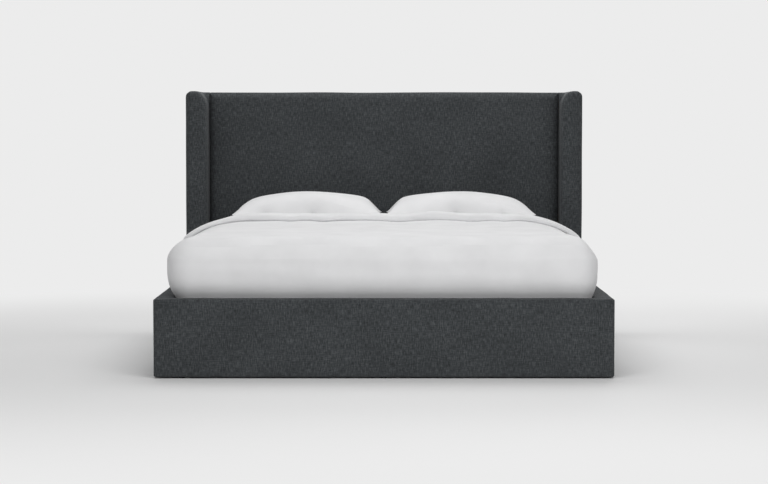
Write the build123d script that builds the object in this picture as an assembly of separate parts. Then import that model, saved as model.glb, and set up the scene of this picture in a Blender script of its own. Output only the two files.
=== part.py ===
from build123d import *
import os
from math import sqrt

# Mattress, its cover and sheet, and the room left round it
mattress_width = 1930
mattress_length = 2032
mattress_thickness = 305
mattress_side_gap = 14
mattress_foot_gap = 14
mattress_head_gap = 5
mattress_corner_radius = 60
mattress_edge_radius = 20
ticking_thickness = 8
sheet_thickness = 1
sheet_return = 60

# Upholstered base: a timber core, foam on its faces and top, and a fabric cover
base_height = 368
base_core_thickness = 60
base_foam_thickness = 12
cover_thickness = 2
base_edge_radius = 8
base_corner_radius = 18
base_joint_radius = 10
floor_clearance = 6
cover_return = 10

# Glides under the timber cores
glide_radius = 14
glide_edge_radius = 1.5
rail_glide_shares = (0.12, 0.5, 0.88)
foot_glide_shares = (-0.88, 0, 0.88)

# Headboard panel between the wings
headboard_height = 1354
panel_drop = 5
panel_cover_gap = 0.5
panel_foam_thickness = 39
panel_top_foam_thickness = 20
panel_board_thickness = 12
frame_depth = 45
post_width = 70
frame_rail_height = 70
bottom_rail_height = 120
middle_rail_share = 0.5
panel_front_radius = 42
panel_back_radius = 10
panel_foam_drop = 10

# Wings at the ends of the headboard
wing_mattress_gap = 13
wing_core_thickness = 60
wing_foam_thickness = 25
wing_front_foam_thickness = 20
wing_depth = 280
wing_outer_radius = 33
wing_inner_round_width = 65
wing_inner_round_height = 95
wing_front_radius = 24
wing_back_radius = 8
wing_batten_drop = 140

# Slats, the cleats and beam that carry them, and the straps that space them
slat_count = 13
slat_width = 70
slat_thickness = 20
slat_end_margin = 25
slat_side_clearance = 8
slat_recess = 83
cleat_thickness = 40
cleat_height = 40
beam_width = 60
beam_height = 80
strap_width = 25
strap_thickness = 1.5
strap_share = 0.5

# Stirrups that hold the ends of the centre beam
hanger_thickness = 3
hanger_width = 110
hanger_drop = 20
hanger_depth = 50
hanger_side_height = 60
hanger_clearance = 0.2

# Centre legs and their screwed levelling feet
leg_width = 45
leg_lift = 30
leg_shares = (-0.62, 0, 0.62)
stud_radius = 5
stud_clearance = 0.06
stud_engagement = 40
stud_hole_spare = 12
foot_radius = 24
foot_thickness = 8
foot_edge_radius = 1.5
foot_nut_radius = 8.5
foot_nut_height = 6
foot_nut_sides = 6

# Fasteners
screw_radius = 2.2
screw_head_radius = 4.5
screw_head_height = 3
screw_length = 38
screw_clearance = 0.1
bolt_radius = 4
bolt_head_radius = 7
bolt_head_height = 6
bolt_engagement = 40
bolt_clearance = 0.15
cleat_bolt_shares = (0.12, 0.36, 0.6, 0.72)
wing_bolt_shares = (0.16, 0.5, 0.84)

# Hooked plates that join each side rail to the footboard and to a wing
plate_width = 30
plate_height = 140
plate_thickness = 3
plate_clearance = 0.2
hook_thickness = 4
hook_height = 24
hook_neck = 14
hook_reach = 8
hook_pitch = 80
hook_room = 10

# Duvet: a thick quilt tucked inside the base, with a band turned back at the top
duvet_clearance = 0.3
duvet_rail_clearance = 5
duvet_tuck = 38
duvet_neck_drop = 6
duvet_overhang = 39
duvet_bulge_low_rise = 98
duvet_bulge_high_drop = 40
duvet_foot_loft = 55
duvet_fold_loft = 78
duvet_crown_rise = 15
duvet_plan_radius = 110
duvet_fold_place = 1267
duvet_band_depth = 165
duvet_band_loft = 34
duvet_band_overhang = 22
duvet_band_crown_rise = 22
duvet_cap_shares = (0.04, 0.12, 0.25, 0.45, 0.7, 1)
duvet_band_shares = ((0.03, 0.45), (0.1, 0.85), (0.3, 1), (0.65, 0.98), (0.88, 0.7), (1, -0.1))

# Pillows side by side behind the turned-back band
pillow_width = 806
pillow_depth = 500
pillow_thickness = 218
pillow_seam_height = 100
pillow_flattening = 14
pillow_edge = 8
pillow_gap = 21
pillow_band_gap = 12
pillow_waist = 12
pillow_shares = ((1, 0.1), (0.95, 0.34), (0.84, 0.61), (0.62, 0.86), (0.32, 0.97), (0, 1))

overrun = 5

# Places that follow from the sizes above
base_thickness = base_core_thickness + 2 * (base_foam_thickness + cover_thickness)
headboard_thickness = (
    2 * cover_thickness + panel_foam_thickness + panel_board_thickness + frame_depth
)
bed_length = (
    base_thickness + mattress_foot_gap + mattress_length + mattress_head_gap + headboard_thickness
)
foot_y = -bed_length / 2
back_y = bed_length / 2
foot_inner_y = foot_y + base_thickness
mattress_foot_y = foot_inner_y + mattress_foot_gap
mattress_head_y = mattress_foot_y + mattress_length
panel_front_y = back_y - headboard_thickness
board_front_y = panel_front_y + cover_thickness + panel_foam_thickness
frame_front_y = board_front_y + panel_board_thickness
frame_back_y = back_y - cover_thickness
wing_front_y = back_y - wing_depth

rail_inner_x = mattress_width / 2 + mattress_side_gap
base_outer_x = rail_inner_x + base_thickness
core_margin = base_foam_thickness + cover_thickness
wing_inner_x = mattress_width / 2 + wing_mattress_gap
wing_core_inner_x = wing_inner_x + cover_thickness + wing_foam_thickness
wing_core_outer_x = wing_core_inner_x + wing_core_thickness
wing_outer_x = wing_core_outer_x + wing_foam_thickness + cover_thickness
panel_end_x = wing_inner_x - panel_cover_gap
post_inner_x = wing_inner_x - post_width

core_bottom = floor_clearance + cover_thickness
core_top = base_height - core_margin
slat_top = base_height - slat_recess
slat_bottom = slat_top - slat_thickness
mattress_top = slat_top + mattress_thickness
panel_top = headboard_height - panel_drop
frame_top = panel_top - cover_thickness - panel_top_foam_thickness
panel_foam_bottom = slat_top - panel_foam_drop
joint_x = (rail_inner_x + core_margin + base_core_thickness + wing_core_inner_x) / 2
joint_z = (core_bottom + core_top) / 2

slat_first_y = mattress_foot_y + slat_end_margin + slat_width / 2
slat_last_y = mattress_head_y - slat_end_margin - slat_width / 2
slat_pitch = (slat_last_y - slat_first_y) / (slat_count - 1)
slat_places = [slat_first_y + slat_pitch * i for i in range(slat_count)]
slat_half_length = wing_inner_x - slat_side_clearance
cleat_inner_x = rail_inner_x - cleat_thickness
beam_foot_y = foot_inner_y + hanger_thickness
beam_head_y = board_front_y - hanger_thickness
leg_places = [share * mattress_length / 2 for share in leg_shares]


def block(x, y, z):
    """A square-cornered block between two places along each axis."""
    middle = ((x[0] + x[1]) / 2, (y[0] + y[1]) / 2, (z[0] + z[1]) / 2)
    return Pos(*middle) * Box(x[1] - x[0], y[1] - y[0], z[1] - z[0])


def across(shape):
    """The same piece on the other side of the bed."""
    return mirror(shape, about=Plane.YZ)


def upright(y):
    """A plane across the bed at y, drawn in x and z."""
    return Plane((0, y, 0), x_dir=(1, 0, 0), z_dir=(0, -1, 0))


def along(y, sketch, length):
    """Carry an outline drawn in x and z along the bed, from y towards the head."""
    return extrude(upright(y) * sketch, amount=length, dir=(0, 1, 0))


def side_rail_body(inset):
    """The outside of the right-hand side rail, drawn in by inset."""
    width = base_thickness - 2 * inset
    height = base_height - floor_clearance - 2 * inset
    section = RectangleRounded(width, height, base_edge_radius - inset)
    middle = Pos((rail_inner_x + base_outer_x) / 2, (base_height + floor_clearance) / 2)
    return along(foot_inner_y, middle * section, wing_front_y - foot_inner_y)


def side_rail_core():
    """The timber core, let in at both ends for its hooked plates."""
    x = (rail_inner_x + core_margin, base_outer_x - core_margin)
    core = block(x, (foot_inner_y, wing_front_y), (core_bottom, core_top))
    for y, way in ((foot_inner_y, -1), (wing_front_y, 1)):
        core -= plate_block(y, way, -plate_thickness, 0, plate_clearance)
    for y in cleat_bolt_places():
        core -= cleat_bolt(y, bolt_clearance)
    return core


def side_rail_foam():
    """Foam on both faces and the top of the core."""
    x = (rail_inner_x + core_margin, base_outer_x - core_margin)
    y = (foot_inner_y - overrun, wing_front_y + overrun)
    foam = side_rail_body(cover_thickness) - block(x, y, (-overrun, core_top))
    for y in cleat_bolt_places():
        foam -= cleat_bolt(y, bolt_clearance)
    return foam


def side_rail_cover():
    """Fabric round the foam, open under the middle of the core."""
    x = (
        rail_inner_x + core_margin + cover_return,
        base_outer_x - core_margin - cover_return,
    )
    y = (foot_inner_y - overrun, wing_front_y + overrun)
    cover = side_rail_body(0) - side_rail_body(cover_thickness)
    cover -= block(x, y, (-overrun, core_bottom))
    for y in cleat_bolt_places():
        cover -= cleat_bolt(y, bolt_clearance)
    return cover


def footboard_body(inset):
    """The outside of the footboard, rounded at its corners and edges, drawn in by inset."""
    plan = Rectangle(2 * (base_outer_x - inset), base_thickness - 2 * inset)
    plan = fillet(plan.vertices().group_by(Axis.Y)[0], base_corner_radius - inset)
    plan = fillet(plan.vertices().group_by(Axis.Y)[-1], base_joint_radius - inset)
    start = Pos(0, foot_y + base_thickness / 2, floor_clearance + inset)
    body = extrude(start * plan, amount=base_height - floor_clearance - 2 * inset)
    body = fillet(body.edges().group_by(Axis.Z)[-1], base_edge_radius - inset)
    return fillet(body.edges().group_by(Axis.Z)[0], base_edge_radius - inset)


def footboard_pad():
    """The thickening of the timber core where the right-hand side rail is hooked on."""
    x = (rail_inner_x + core_margin, base_outer_x - core_margin)
    y = (foot_inner_y - core_margin, foot_inner_y - cover_thickness)
    return block(x, y, (core_bottom + base_edge_radius, core_top))


def footboard_core():
    """The timber core with its two thickenings and the pockets for the rails' hooks."""
    y = (foot_y + core_margin, foot_inner_y - core_margin)
    core_x = base_outer_x - core_margin
    core = block((-core_x, core_x), y, (core_bottom, core_top))
    core += footboard_pad()
    core += across(footboard_pad())
    pocket = slot_plate_room(foot_inner_y, -1)
    return core - pocket - across(pocket)


def footboard_foam():
    """Foam on both faces, the ends and the top of the core."""
    core_x = base_outer_x - core_margin
    foam = footboard_body(cover_thickness)
    y = (foot_y + core_margin, foot_inner_y - core_margin)
    foam -= block((-core_x, core_x), y, (-overrun, core_top))
    return foam - footboard_pad() - across(footboard_pad())


def footboard_cover():
    """Fabric round the foam, open under the core and at the slotted plates."""
    cover = footboard_body(0) - footboard_body(cover_thickness)
    open_x = base_outer_x - core_margin - cover_return
    y = (foot_y + core_margin + cover_return, foot_inner_y - core_margin - cover_return)
    cover -= block((-open_x, open_x), y, (-overrun, core_bottom))
    window = plate_block(foot_inner_y, -1, -overrun, plate_thickness, plate_clearance)
    return cover - window - across(window)


def wing_body(inset):
    """The outside of the right-hand wing, drawn in by inset: its front view carried back."""
    inner = wing_inner_x + inset
    outer = wing_outer_x - inset
    bottom = floor_clearance + inset
    top = headboard_height - inset
    radius = wing_outer_radius - inset
    wide = wing_inner_round_width - inset
    high = wing_inner_round_height - inset
    outline = Line((inner, bottom), (outer, bottom))
    outline += Line((outer, bottom), (outer, top - radius))
    outline += CenterArc((outer - radius, top - radius), radius, 0, 90)
    outline += Line((outer - radius, top), (inner + wide, top))
    outline += EllipticalCenterArc((inner + wide, top - high), wide, high, 90, arc_size=90)
    outline += Line((inner, top - high), (inner, bottom))
    front = wing_front_y + inset
    body = along(front, make_face(outline), back_y - inset - front)
    rim = body.edges().group_by(Axis.Y)[0]
    body = fillet(rim.sort_by(Axis.Z)[1:], wing_front_radius - inset)
    rim = body.edges().group_by(Axis.Y)[-1]
    rim = rim.filter_by(lambda edge: edge.center().X > inner + wide)
    body = fillet(rim.sort_by(Axis.Z)[1:], wing_back_radius - inset)
    return body + wing_shoulder(inset)


def wing_shoulder(inset):
    """The wing behind its rounded corner, where it carries on the panel's front and top."""
    x = (wing_inner_x + inset, wing_inner_x + wing_inner_round_width)
    z = (headboard_height - wing_inner_round_height, headboard_height)
    corner = block(x, (panel_front_y, back_y), z)
    return corner & panel_block(inset, back_y - inset, x)


def wing_core_blank():
    """The timber inside a wing: its board, the batten behind the panel and the rail's seat."""
    x = (wing_core_inner_x, wing_core_outer_x)
    front = wing_front_y + cover_thickness + wing_front_foam_thickness
    top = headboard_height - cover_thickness - wing_foam_thickness
    core = block(x, (front, frame_back_y), (core_bottom, top))
    batten_top = headboard_height - wing_batten_drop
    batten_x = (wing_inner_x, wing_core_inner_x)
    core += block(batten_x, (board_front_y, frame_back_y), (core_bottom, batten_top))
    core += block(x, (wing_front_y + cover_thickness, front), (core_bottom, core_top))
    return core


def wing_core():
    """The wing's timber with its bolt holes and the pocket for the rail's hooks."""
    core = wing_core_blank() - slot_plate_room(wing_front_y, 1)
    for z in wing_bolt_places():
        core -= wing_bolt(z, bolt_clearance)
    return core


def wing_foam():
    """Foam round the wing's timber."""
    foam = wing_body(cover_thickness) - wing_core_blank()
    room = plate_block(wing_front_y, 1, -overrun, plate_thickness, plate_clearance)
    return foam - room


def wing_cover():
    """Fabric round the foam, open at the batten, under the core and at the slotted plate."""
    cover = wing_body(0) - wing_body(cover_thickness)
    batten_top = headboard_height - wing_batten_drop
    batten_x = (wing_inner_x - overrun, wing_core_inner_x)
    cover -= block(batten_x, (board_front_y, frame_back_y), (-overrun, batten_top))
    open_x = (wing_core_inner_x + cover_return, wing_core_outer_x - cover_return)
    open_y = (wing_front_y + wing_front_radius + cover_return, frame_back_y - cover_return)
    cover -= block(open_x, open_y, (-overrun, core_bottom))
    return cover - plate_block(wing_front_y, 1, -overrun, plate_thickness, plate_clearance)


def panel_block(inset, back, x):
    """The panel's side view, drawn in by inset and carried across between two places."""
    front = panel_front_y + inset
    bottom = panel_foam_bottom + inset
    top = panel_top - inset
    front_radius = panel_front_radius - inset
    back_radius = panel_back_radius - inset
    outline = Line((front, bottom), (back, bottom))
    outline += Line((back, bottom), (back, top - back_radius))
    outline += CenterArc((back - back_radius, top - back_radius), back_radius, 0, 90)
    outline += Line((back - back_radius, top), (front + front_radius, top))
    outline += CenterArc((front + front_radius, top - front_radius), front_radius, 90, 90)
    outline += Line((front, top - front_radius), (front, bottom))
    side = Plane((x[0], 0, 0), x_dir=(0, 1, 0), z_dir=(1, 0, 0))
    return extrude(side * make_face(outline), amount=x[1] - x[0])


def panel_body(inset):
    """The padded panel between the wings, drawn in by inset."""
    end = panel_end_x - inset
    return panel_block(inset, frame_back_y - inset, (-end, end))


def panel_frame_room():
    """The space that the headboard's board and timber frame take up."""
    x = (-wing_inner_x, wing_inner_x)
    return block(x, (board_front_y, frame_back_y + overrun), (-overrun, frame_top))


def headboard_foam():
    """Foam on the front of the panel and over its top."""
    return panel_body(cover_thickness) - panel_frame_room()


def headboard_cover():
    """Fabric over the front, top and ends of the panel's foam."""
    return panel_body(0) - panel_body(cover_thickness) - panel_frame_room()


def headboard_back_cover():
    """Flat cloth over the back of the panel."""
    x = (-panel_end_x, panel_end_x)
    return block(x, (frame_back_y, back_y), (floor_clearance, panel_top - panel_back_radius))


def headboard_panel():
    """The board behind the panel's foam."""
    x = (-panel_end_x, panel_end_x)
    return block(x, (board_front_y, frame_front_y), (core_bottom, frame_top))


def headboard_post():
    """The right-hand post of the headboard's frame, drilled for the wing bolts."""
    x = (post_inner_x, wing_inner_x)
    post = block(x, (frame_front_y, frame_back_y), (core_bottom, frame_top))
    for z in wing_bolt_places():
        post -= wing_bolt(z, bolt_clearance)
    return post


def headboard_rail(bottom, height):
    """A timber rail between the two posts."""
    x = (-post_inner_x, post_inner_x)
    return block(x, (frame_front_y, frame_back_y), (bottom, bottom + height))


def middle_rail_bottom():
    """The underside of the middle rail, between the other two."""
    span = frame_top - slat_bottom
    return slat_bottom + middle_rail_share * span - frame_rail_height / 2


def wing_bolt_places():
    """Heights of the bolts that hold a wing to its post."""
    span = headboard_height - wing_batten_drop - core_bottom
    return [core_bottom + share * span for share in wing_bolt_shares]


def wing_bolt(z, grow):
    """A bolt through the wing's timber into the post, its head let into the wing."""
    y = (frame_front_y + frame_back_y) / 2
    reach = wing_core_outer_x - wing_inner_x + bolt_engagement
    turned = Pos(wing_core_outer_x, y, z) * Rot(0, 90, 0)
    shank = Pos(0, 0, -reach / 2) * Cylinder(bolt_radius + grow, reach)
    head = Pos(0, 0, -bolt_head_height / 2) * Cylinder(bolt_head_radius + grow, bolt_head_height)
    return turned * (shank + head)


def cleat_bolt_places():
    """Places along the rail of the cleat's bolts, between slats."""
    gaps = [int(share * slat_count) for share in cleat_bolt_shares]
    return [slat_places[gap] + slat_pitch / 2 for gap in gaps]


def cleat_bolt(y, grow):
    """A bolt through the cleat and the rail's cover and foam into its core."""
    reach = cleat_thickness + core_margin + bolt_engagement
    turned = Pos(cleat_inner_x, y, slat_bottom - cleat_height / 2) * Rot(0, 90, 0)
    shank = Pos(0, 0, reach / 2) * Cylinder(bolt_radius + grow, reach)
    head = Pos(0, 0, bolt_head_height / 2) * Cylinder(bolt_head_radius + grow, bolt_head_height)
    return turned * (shank + head)


def slat_screw(x, y, grow):
    """A countersunk wood screw down through a slat."""
    height = screw_head_height
    shank = Pos(0, 0, -screw_length / 2) * Cylinder(screw_radius + grow, screw_length)
    head = Pos(0, 0, -height / 2) * Cone(screw_radius + grow, screw_head_radius + grow, height)
    return Pos(x, y, slat_top) * (shank + head)


def slat_screw_places():
    """Across the bed: one screw in each cleat and one in the beam."""
    outer = (cleat_inner_x + slat_half_length) / 2
    return (-outer, 0, outer)


def slat(y):
    """One slat with its three screw holes."""
    x = (-slat_half_length, slat_half_length)
    board = block(x, (y - slat_width / 2, y + slat_width / 2), (slat_bottom, slat_top))
    for place in slat_screw_places():
        board -= slat_screw(place, y, screw_clearance)
    return board


def slat_cleat():
    """The right-hand ledge under the slats, narrowed where it passes the wing."""
    z = (slat_bottom - cleat_height, slat_bottom)
    cleat = block((cleat_inner_x, rail_inner_x), (foot_inner_y, wing_front_y), z)
    cleat += block((cleat_inner_x, wing_inner_x), (wing_front_y, panel_front_y), z)
    for y in slat_places:
        cleat -= slat_screw(slat_screw_places()[-1], y, screw_clearance)
    for y in cleat_bolt_places():
        cleat -= cleat_bolt(y, bolt_clearance)
    return cleat


def centre_beam():
    """The beam under the middle of the slats."""
    x = (-beam_width / 2, beam_width / 2)
    beam = block(x, (beam_foot_y, beam_head_y), (slat_bottom - beam_height, slat_bottom))
    for y in slat_places:
        beam -= slat_screw(0, y, screw_clearance)
    return beam


def beam_hanger(y, way):
    """A steel stirrup: a plate on the wall at y, two cheeks and a seat for the beam."""
    beam_bottom = slat_bottom - beam_height
    inner = beam_width / 2 + hanger_clearance
    outer = inner + hanger_thickness
    wall = sorted((y, y + way * hanger_thickness))
    reach = sorted((y + way * hanger_thickness, y + way * hanger_depth))
    plate_x = (-hanger_width / 2, hanger_width / 2)
    hanger = block(plate_x, wall, (beam_bottom - hanger_drop, slat_bottom))
    hanger += block((-outer, outer), reach, (beam_bottom - hanger_thickness, beam_bottom))
    cheek_z = (beam_bottom, beam_bottom + hanger_side_height)
    hanger += block((inner, outer), reach, cheek_z)
    hanger += block((-outer, -inner), reach, cheek_z)
    return hanger


def centre_leg(y):
    """A timber leg under the beam, bored for its levelling foot."""
    half = leg_width / 2
    leg = block((-half, half), (y - half, y + half), (leg_lift, slat_bottom - beam_height))
    depth = stud_engagement + stud_hole_spare
    bore = Cylinder(stud_radius + stud_clearance, 2 * depth)
    return leg - Pos(0, y, leg_lift) * bore


def levelling_foot(y):
    """A round foot with its nut and the stud that screws into the leg."""
    pad = Pos(0, 0, foot_thickness / 2) * Cylinder(foot_radius, foot_thickness)
    pad = fillet(pad.edges().filter_by(GeomType.CIRCLE), foot_edge_radius)
    nut = extrude(RegularPolygon(foot_nut_radius, foot_nut_sides), amount=foot_nut_height)
    length = leg_lift + stud_engagement - foot_thickness
    stud = Pos(0, 0, foot_thickness + length / 2) * Cylinder(stud_radius, length)
    return Pos(0, y, 0) * (pad + Pos(0, 0, foot_thickness) * nut + stud)


def slat_straps():
    """Webbing that keeps the slats at their spacing."""
    straps = []
    for side in (-1, 1):
        x = side * strap_share * slat_half_length
        y = (slat_first_y - slat_width / 2, slat_last_y + slat_width / 2)
        z = (slat_bottom - strap_thickness, slat_bottom)
        straps.append(block((x - strap_width / 2, x + strap_width / 2), y, z))
    return straps


def plate_block(y, way, near, far, grow):
    """A block the size of a joining plate, from near to far beyond the joint at y."""
    x = (joint_x - plate_width / 2 - grow, joint_x + plate_width / 2 + grow)
    z = (joint_z - plate_height / 2 - grow, joint_z + plate_height / 2 + grow)
    return block(x, sorted((y + way * near, y + way * far)), z)


def hook_plate(y, way):
    """A plate in the end of a side rail, with two hooks that reach through the joint."""
    plate = plate_block(y, way, -plate_thickness, 0, 0)
    x = (joint_x - hook_thickness / 2, joint_x + hook_thickness / 2)
    neck = plate_thickness + plate_clearance
    for middle in (joint_z - hook_pitch / 2, joint_z + hook_pitch / 2):
        top = middle + hook_height / 2
        plate += block(x, sorted((y, y + way * neck)), (top - hook_neck, top))
        tip = sorted((y + way * neck, y + way * (neck + hook_reach)))
        plate += block(x, tip, (top - hook_height, top))
    return plate


def slot_plate(y, way):
    """The plate that the hooks drop into, flush with the face it is let into."""
    plate = plate_block(y, way, 0, plate_thickness, 0)
    half = hook_thickness / 2 + plate_clearance
    cut = sorted((y - way * overrun, y + way * (plate_thickness + overrun)))
    for middle in (joint_z - hook_pitch / 2, joint_z + hook_pitch / 2):
        top = middle + hook_height / 2
        z = (top - hook_neck - plate_clearance, top + hook_room)
        plate -= block((joint_x - half, joint_x + half), cut, z)
    return plate


def slot_plate_room(y, way):
    """The recess behind a joint for the slotted plate and the tips of the hooks."""
    room = plate_block(y, way, 0, plate_thickness, plate_clearance)
    half = hook_thickness / 2 + 2 * plate_clearance
    reach = plate_thickness + 2 * plate_clearance + hook_reach
    span = hook_pitch / 2 + hook_height / 2 + plate_clearance
    z = (joint_z - span, joint_z + span + hook_room)
    return room + block((joint_x - half, joint_x + half), sorted((y, y + way * reach)), z)


def glide(x, y):
    """A round glide between the floor and a timber core."""
    disc = Cylinder(glide_radius, core_bottom)
    disc = fillet(disc.edges().group_by(Axis.Z)[0], glide_edge_radius)
    return Pos(x, y, core_bottom / 2) * disc


def glides():
    """All the glides: along both rails, across the foot and under each wing."""
    rail_x = (rail_inner_x + base_outer_x) / 2
    places = [(share * base_outer_x, foot_y + base_thickness / 2) for share in foot_glide_shares]
    for side in (-1, 1):
        for share in rail_glide_shares:
            y = foot_inner_y + share * (wing_front_y - foot_inner_y)
            places.append((side * rail_x, y))
        wing_x = (wing_core_inner_x + wing_core_outer_x) / 2
        places.append((side * wing_x, (wing_front_y + back_y) / 2))
    return [glide(x, y) for x, y in places]


def mattress_body(inset):
    """The outside of the made-up mattress, drawn in by inset."""
    width = mattress_width - 2 * inset
    length = mattress_length - 2 * inset
    plan = RectangleRounded(width, length, mattress_corner_radius - inset)
    start = Pos(0, (mattress_foot_y + mattress_head_y) / 2, slat_top + inset)
    body = extrude(start * plan, amount=mattress_thickness - 2 * inset)
    return fillet(body.edges().group_by(Axis.Z)[-1], mattress_edge_radius - inset)


def mattress_underside(inset):
    """The opening left under the mattress by a cover that turns in at its edges."""
    half = mattress_width / 2 - sheet_return - inset
    y = (mattress_foot_y + sheet_return + inset, mattress_head_y - sheet_return - inset)
    top = slat_top + sheet_thickness + ticking_thickness
    return block((-half, half), y, (slat_top - overrun, top))


def duvet_outline(y, half, overhang, low, high, radius, crown):
    """Across the duvet: a flat underside, sides that bulge out by overhang, a rounded
    shoulder and a crowned top. low and high are how far the outline reaches below and
    above its widest part, radius is the shoulder's, and crown is the rise of its top."""
    bulge_low = base_height + duvet_bulge_low_rise
    bulge_high = mattress_top - duvet_bulge_high_drop
    full = bulge_low - (base_height - duvet_neck_drop)
    bend = (overhang**2 + full**2) / (2 * overhang)
    drawn = bend - sqrt(bend**2 - low**2)
    drawn_half = bend - sqrt(bend**2 - (low / 2) ** 2)
    shoulder = radius - sqrt(max(radius**2 - high**2, 0))
    turn = high / radius
    part = sqrt((1 - sqrt(max(1 - turn**2, 0))) / 2)
    mid_out = radius - radius * sqrt(1 - part**2)
    points = {
        "neck": (half - drawn, bulge_low - low),
        "lower": (half - drawn_half, bulge_low - low / 2),
        "bulge": (half, bulge_low),
        "side": (half, bulge_high),
        "round": (half - mid_out, bulge_high + radius * part),
        "top": (half - shoulder, bulge_high + high),
    }
    left = {name: (-x, z) for name, (x, z) in points.items()}
    outline = Line(left["neck"], points["neck"])
    outline += ThreePointArc(points["neck"], points["lower"], points["bulge"])
    outline += Line(points["bulge"], points["side"])
    outline += ThreePointArc(points["side"], points["round"], points["top"])
    outline += ThreePointArc(points["top"], (0, bulge_high + high + crown), left["top"])
    outline += ThreePointArc(left["top"], left["round"], left["side"])
    outline += Line(left["side"], left["bulge"])
    outline += ThreePointArc(left["bulge"], left["lower"], left["neck"])
    return upright(y) * make_face(outline)


def duvet_sections():
    """Outlines from the rounded foot end, along the bed, and over the turned-back band."""
    hem_x = rail_inner_x - duvet_rail_clearance
    half = hem_x + duvet_overhang
    start = foot_inner_y + duvet_rail_clearance - duvet_overhang
    full = duvet_bulge_low_rise + duvet_neck_drop
    bend = (duvet_overhang**2 + full**2) / (2 * duvet_overhang)
    foot_high = duvet_bulge_high_drop + duvet_foot_loft - duvet_crown_rise
    fold_high = duvet_bulge_high_drop + duvet_fold_loft - duvet_crown_rise
    sections = []
    for share in duvet_cap_shares:
        reach = share * duvet_plan_radius
        rise = min(reach, foot_high)
        drop = min(reach, duvet_overhang)
        narrow = duvet_plan_radius - sqrt(duvet_plan_radius**2 - (duvet_plan_radius - reach) ** 2)
        high = sqrt(foot_high**2 - (foot_high - rise) ** 2)
        low = sqrt(bend**2 - (bend - drop) ** 2)
        crown = duvet_crown_rise * high / foot_high
        across_bed = (half - narrow, duvet_overhang, low, high, foot_high, crown)
        sections.append(duvet_outline(start + reach, *across_bed))
    fold_y = foot_inner_y + duvet_fold_place
    across_bed = (half, duvet_overhang, full, fold_high, fold_high, duvet_crown_rise)
    sections.append(duvet_outline(fold_y, *across_bed))
    for place, share in duvet_band_shares:
        wider = share * duvet_band_overhang
        high = fold_high + share * duvet_band_loft
        crown = duvet_crown_rise + share * (duvet_band_crown_rise - duvet_crown_rise)
        across_bed = (half + wider, duvet_overhang + wider, full, high, high, crown)
        sections.append(duvet_outline(fold_y + place * duvet_band_depth, *across_bed))
    return sections


def duvet():
    """The duvet: its quilted body and tucked hem, hollowed to fit over the mattress."""
    body = loft(duvet_sections(), ruled=True)
    hem_x = rail_inner_x - duvet_rail_clearance
    front = foot_inner_y + duvet_rail_clearance
    end = foot_inner_y + duvet_fold_place + duvet_band_depth
    neck = base_height - duvet_neck_drop
    plan = Pos(0, (front + end) / 2) * Rectangle(2 * hem_x, end - front)
    plan = fillet(plan.vertices().group_by(Axis.Y)[0], mattress_corner_radius)
    hem = extrude(Pos(0, 0, base_height - duvet_tuck) * plan, amount=duvet_tuck)
    body += hem
    return body - mattress_body(-duvet_clearance)


def pillow_outline(x, thick, middle_y):
    """Across a pillow at x: a narrow seam at front and back, arched above and below."""
    half = pillow_depth / 2
    seam = mattress_top + pillow_seam_height
    above = (pillow_thickness - pillow_seam_height) * thick
    below = (pillow_seam_height + pillow_flattening) * thick
    edge = pillow_edge / 2
    front = middle_y - half
    back = middle_y + half
    outline = Line((front, seam - edge), (front, seam + edge))
    outline += ThreePointArc((front, seam + edge), (middle_y, seam + above), (back, seam + edge))
    outline += Line((back, seam + edge), (back, seam - edge))
    outline += ThreePointArc((back, seam - edge), (middle_y, seam - below), (front, seam - edge))
    return Plane((x, 0, 0), x_dir=(0, 1, 0), z_dir=(1, 0, 0)) * make_face(outline)


def pillow():
    """The right-hand pillow: crowned, its sides drawn in, flat where it lies on the bed."""
    middle_x = (pillow_gap + pillow_width) / 2
    band_end = foot_inner_y + duvet_fold_place + duvet_band_depth
    middle_y = band_end + pillow_band_gap + pillow_depth / 2
    places = [(-share, thick) for share, thick in pillow_shares]
    places += [(share, thick) for share, thick in reversed(pillow_shares[:-1])]
    sections = []
    for share, thick in places:
        x = middle_x + share * pillow_width / 2
        sections.append(pillow_outline(x, thick, middle_y))
    body = loft(sections)
    sag = ((pillow_depth / 2) ** 2 + pillow_waist**2) / (2 * pillow_waist)
    height = mattress_top + pillow_seam_height
    for side in (-1, 1):
        x = middle_x + side * (pillow_width / 2 - pillow_waist + sag)
        body -= Pos(x, middle_y, height) * Cylinder(sag, 2 * pillow_thickness)
    sag = ((pillow_width / 2) ** 2 + pillow_waist**2) / (2 * pillow_waist)
    for side in (-1, 1):
        y = middle_y + side * (pillow_depth / 2 - pillow_waist + sag)
        body -= Pos(middle_x, y, height) * Cylinder(sag, 2 * pillow_thickness)
    low = mattress_top - pillow_thickness
    x = (middle_x - pillow_width, middle_x + pillow_width)
    y = (middle_y - pillow_depth, middle_y + pillow_depth)
    return body - block(x, y, (low, mattress_top + duvet_clearance))


def write(name, shape):
    """Save one piece, or one group of identical fasteners, under its name."""
    pieces = shape if isinstance(shape, list) else shape.solids()
    export_step(Compound(children=list(pieces)), f"parts/{name}.step")
    print(name, len(pieces))


def write_pair(name, shape):
    """Save a right-hand piece and its left-hand twin."""
    write(f"{name}_right", shape)
    write(f"{name}_left", across(shape))


def write_base():
    """The upholstered base."""
    write_pair("side_rail_core", side_rail_core())
    write_pair("side_rail_foam", side_rail_foam())
    write_pair("side_rail_cover", side_rail_cover())
    write("footboard_core", footboard_core())
    write("footboard_foam", footboard_foam())
    write("footboard_cover", footboard_cover())
    write("glides", glides())


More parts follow.
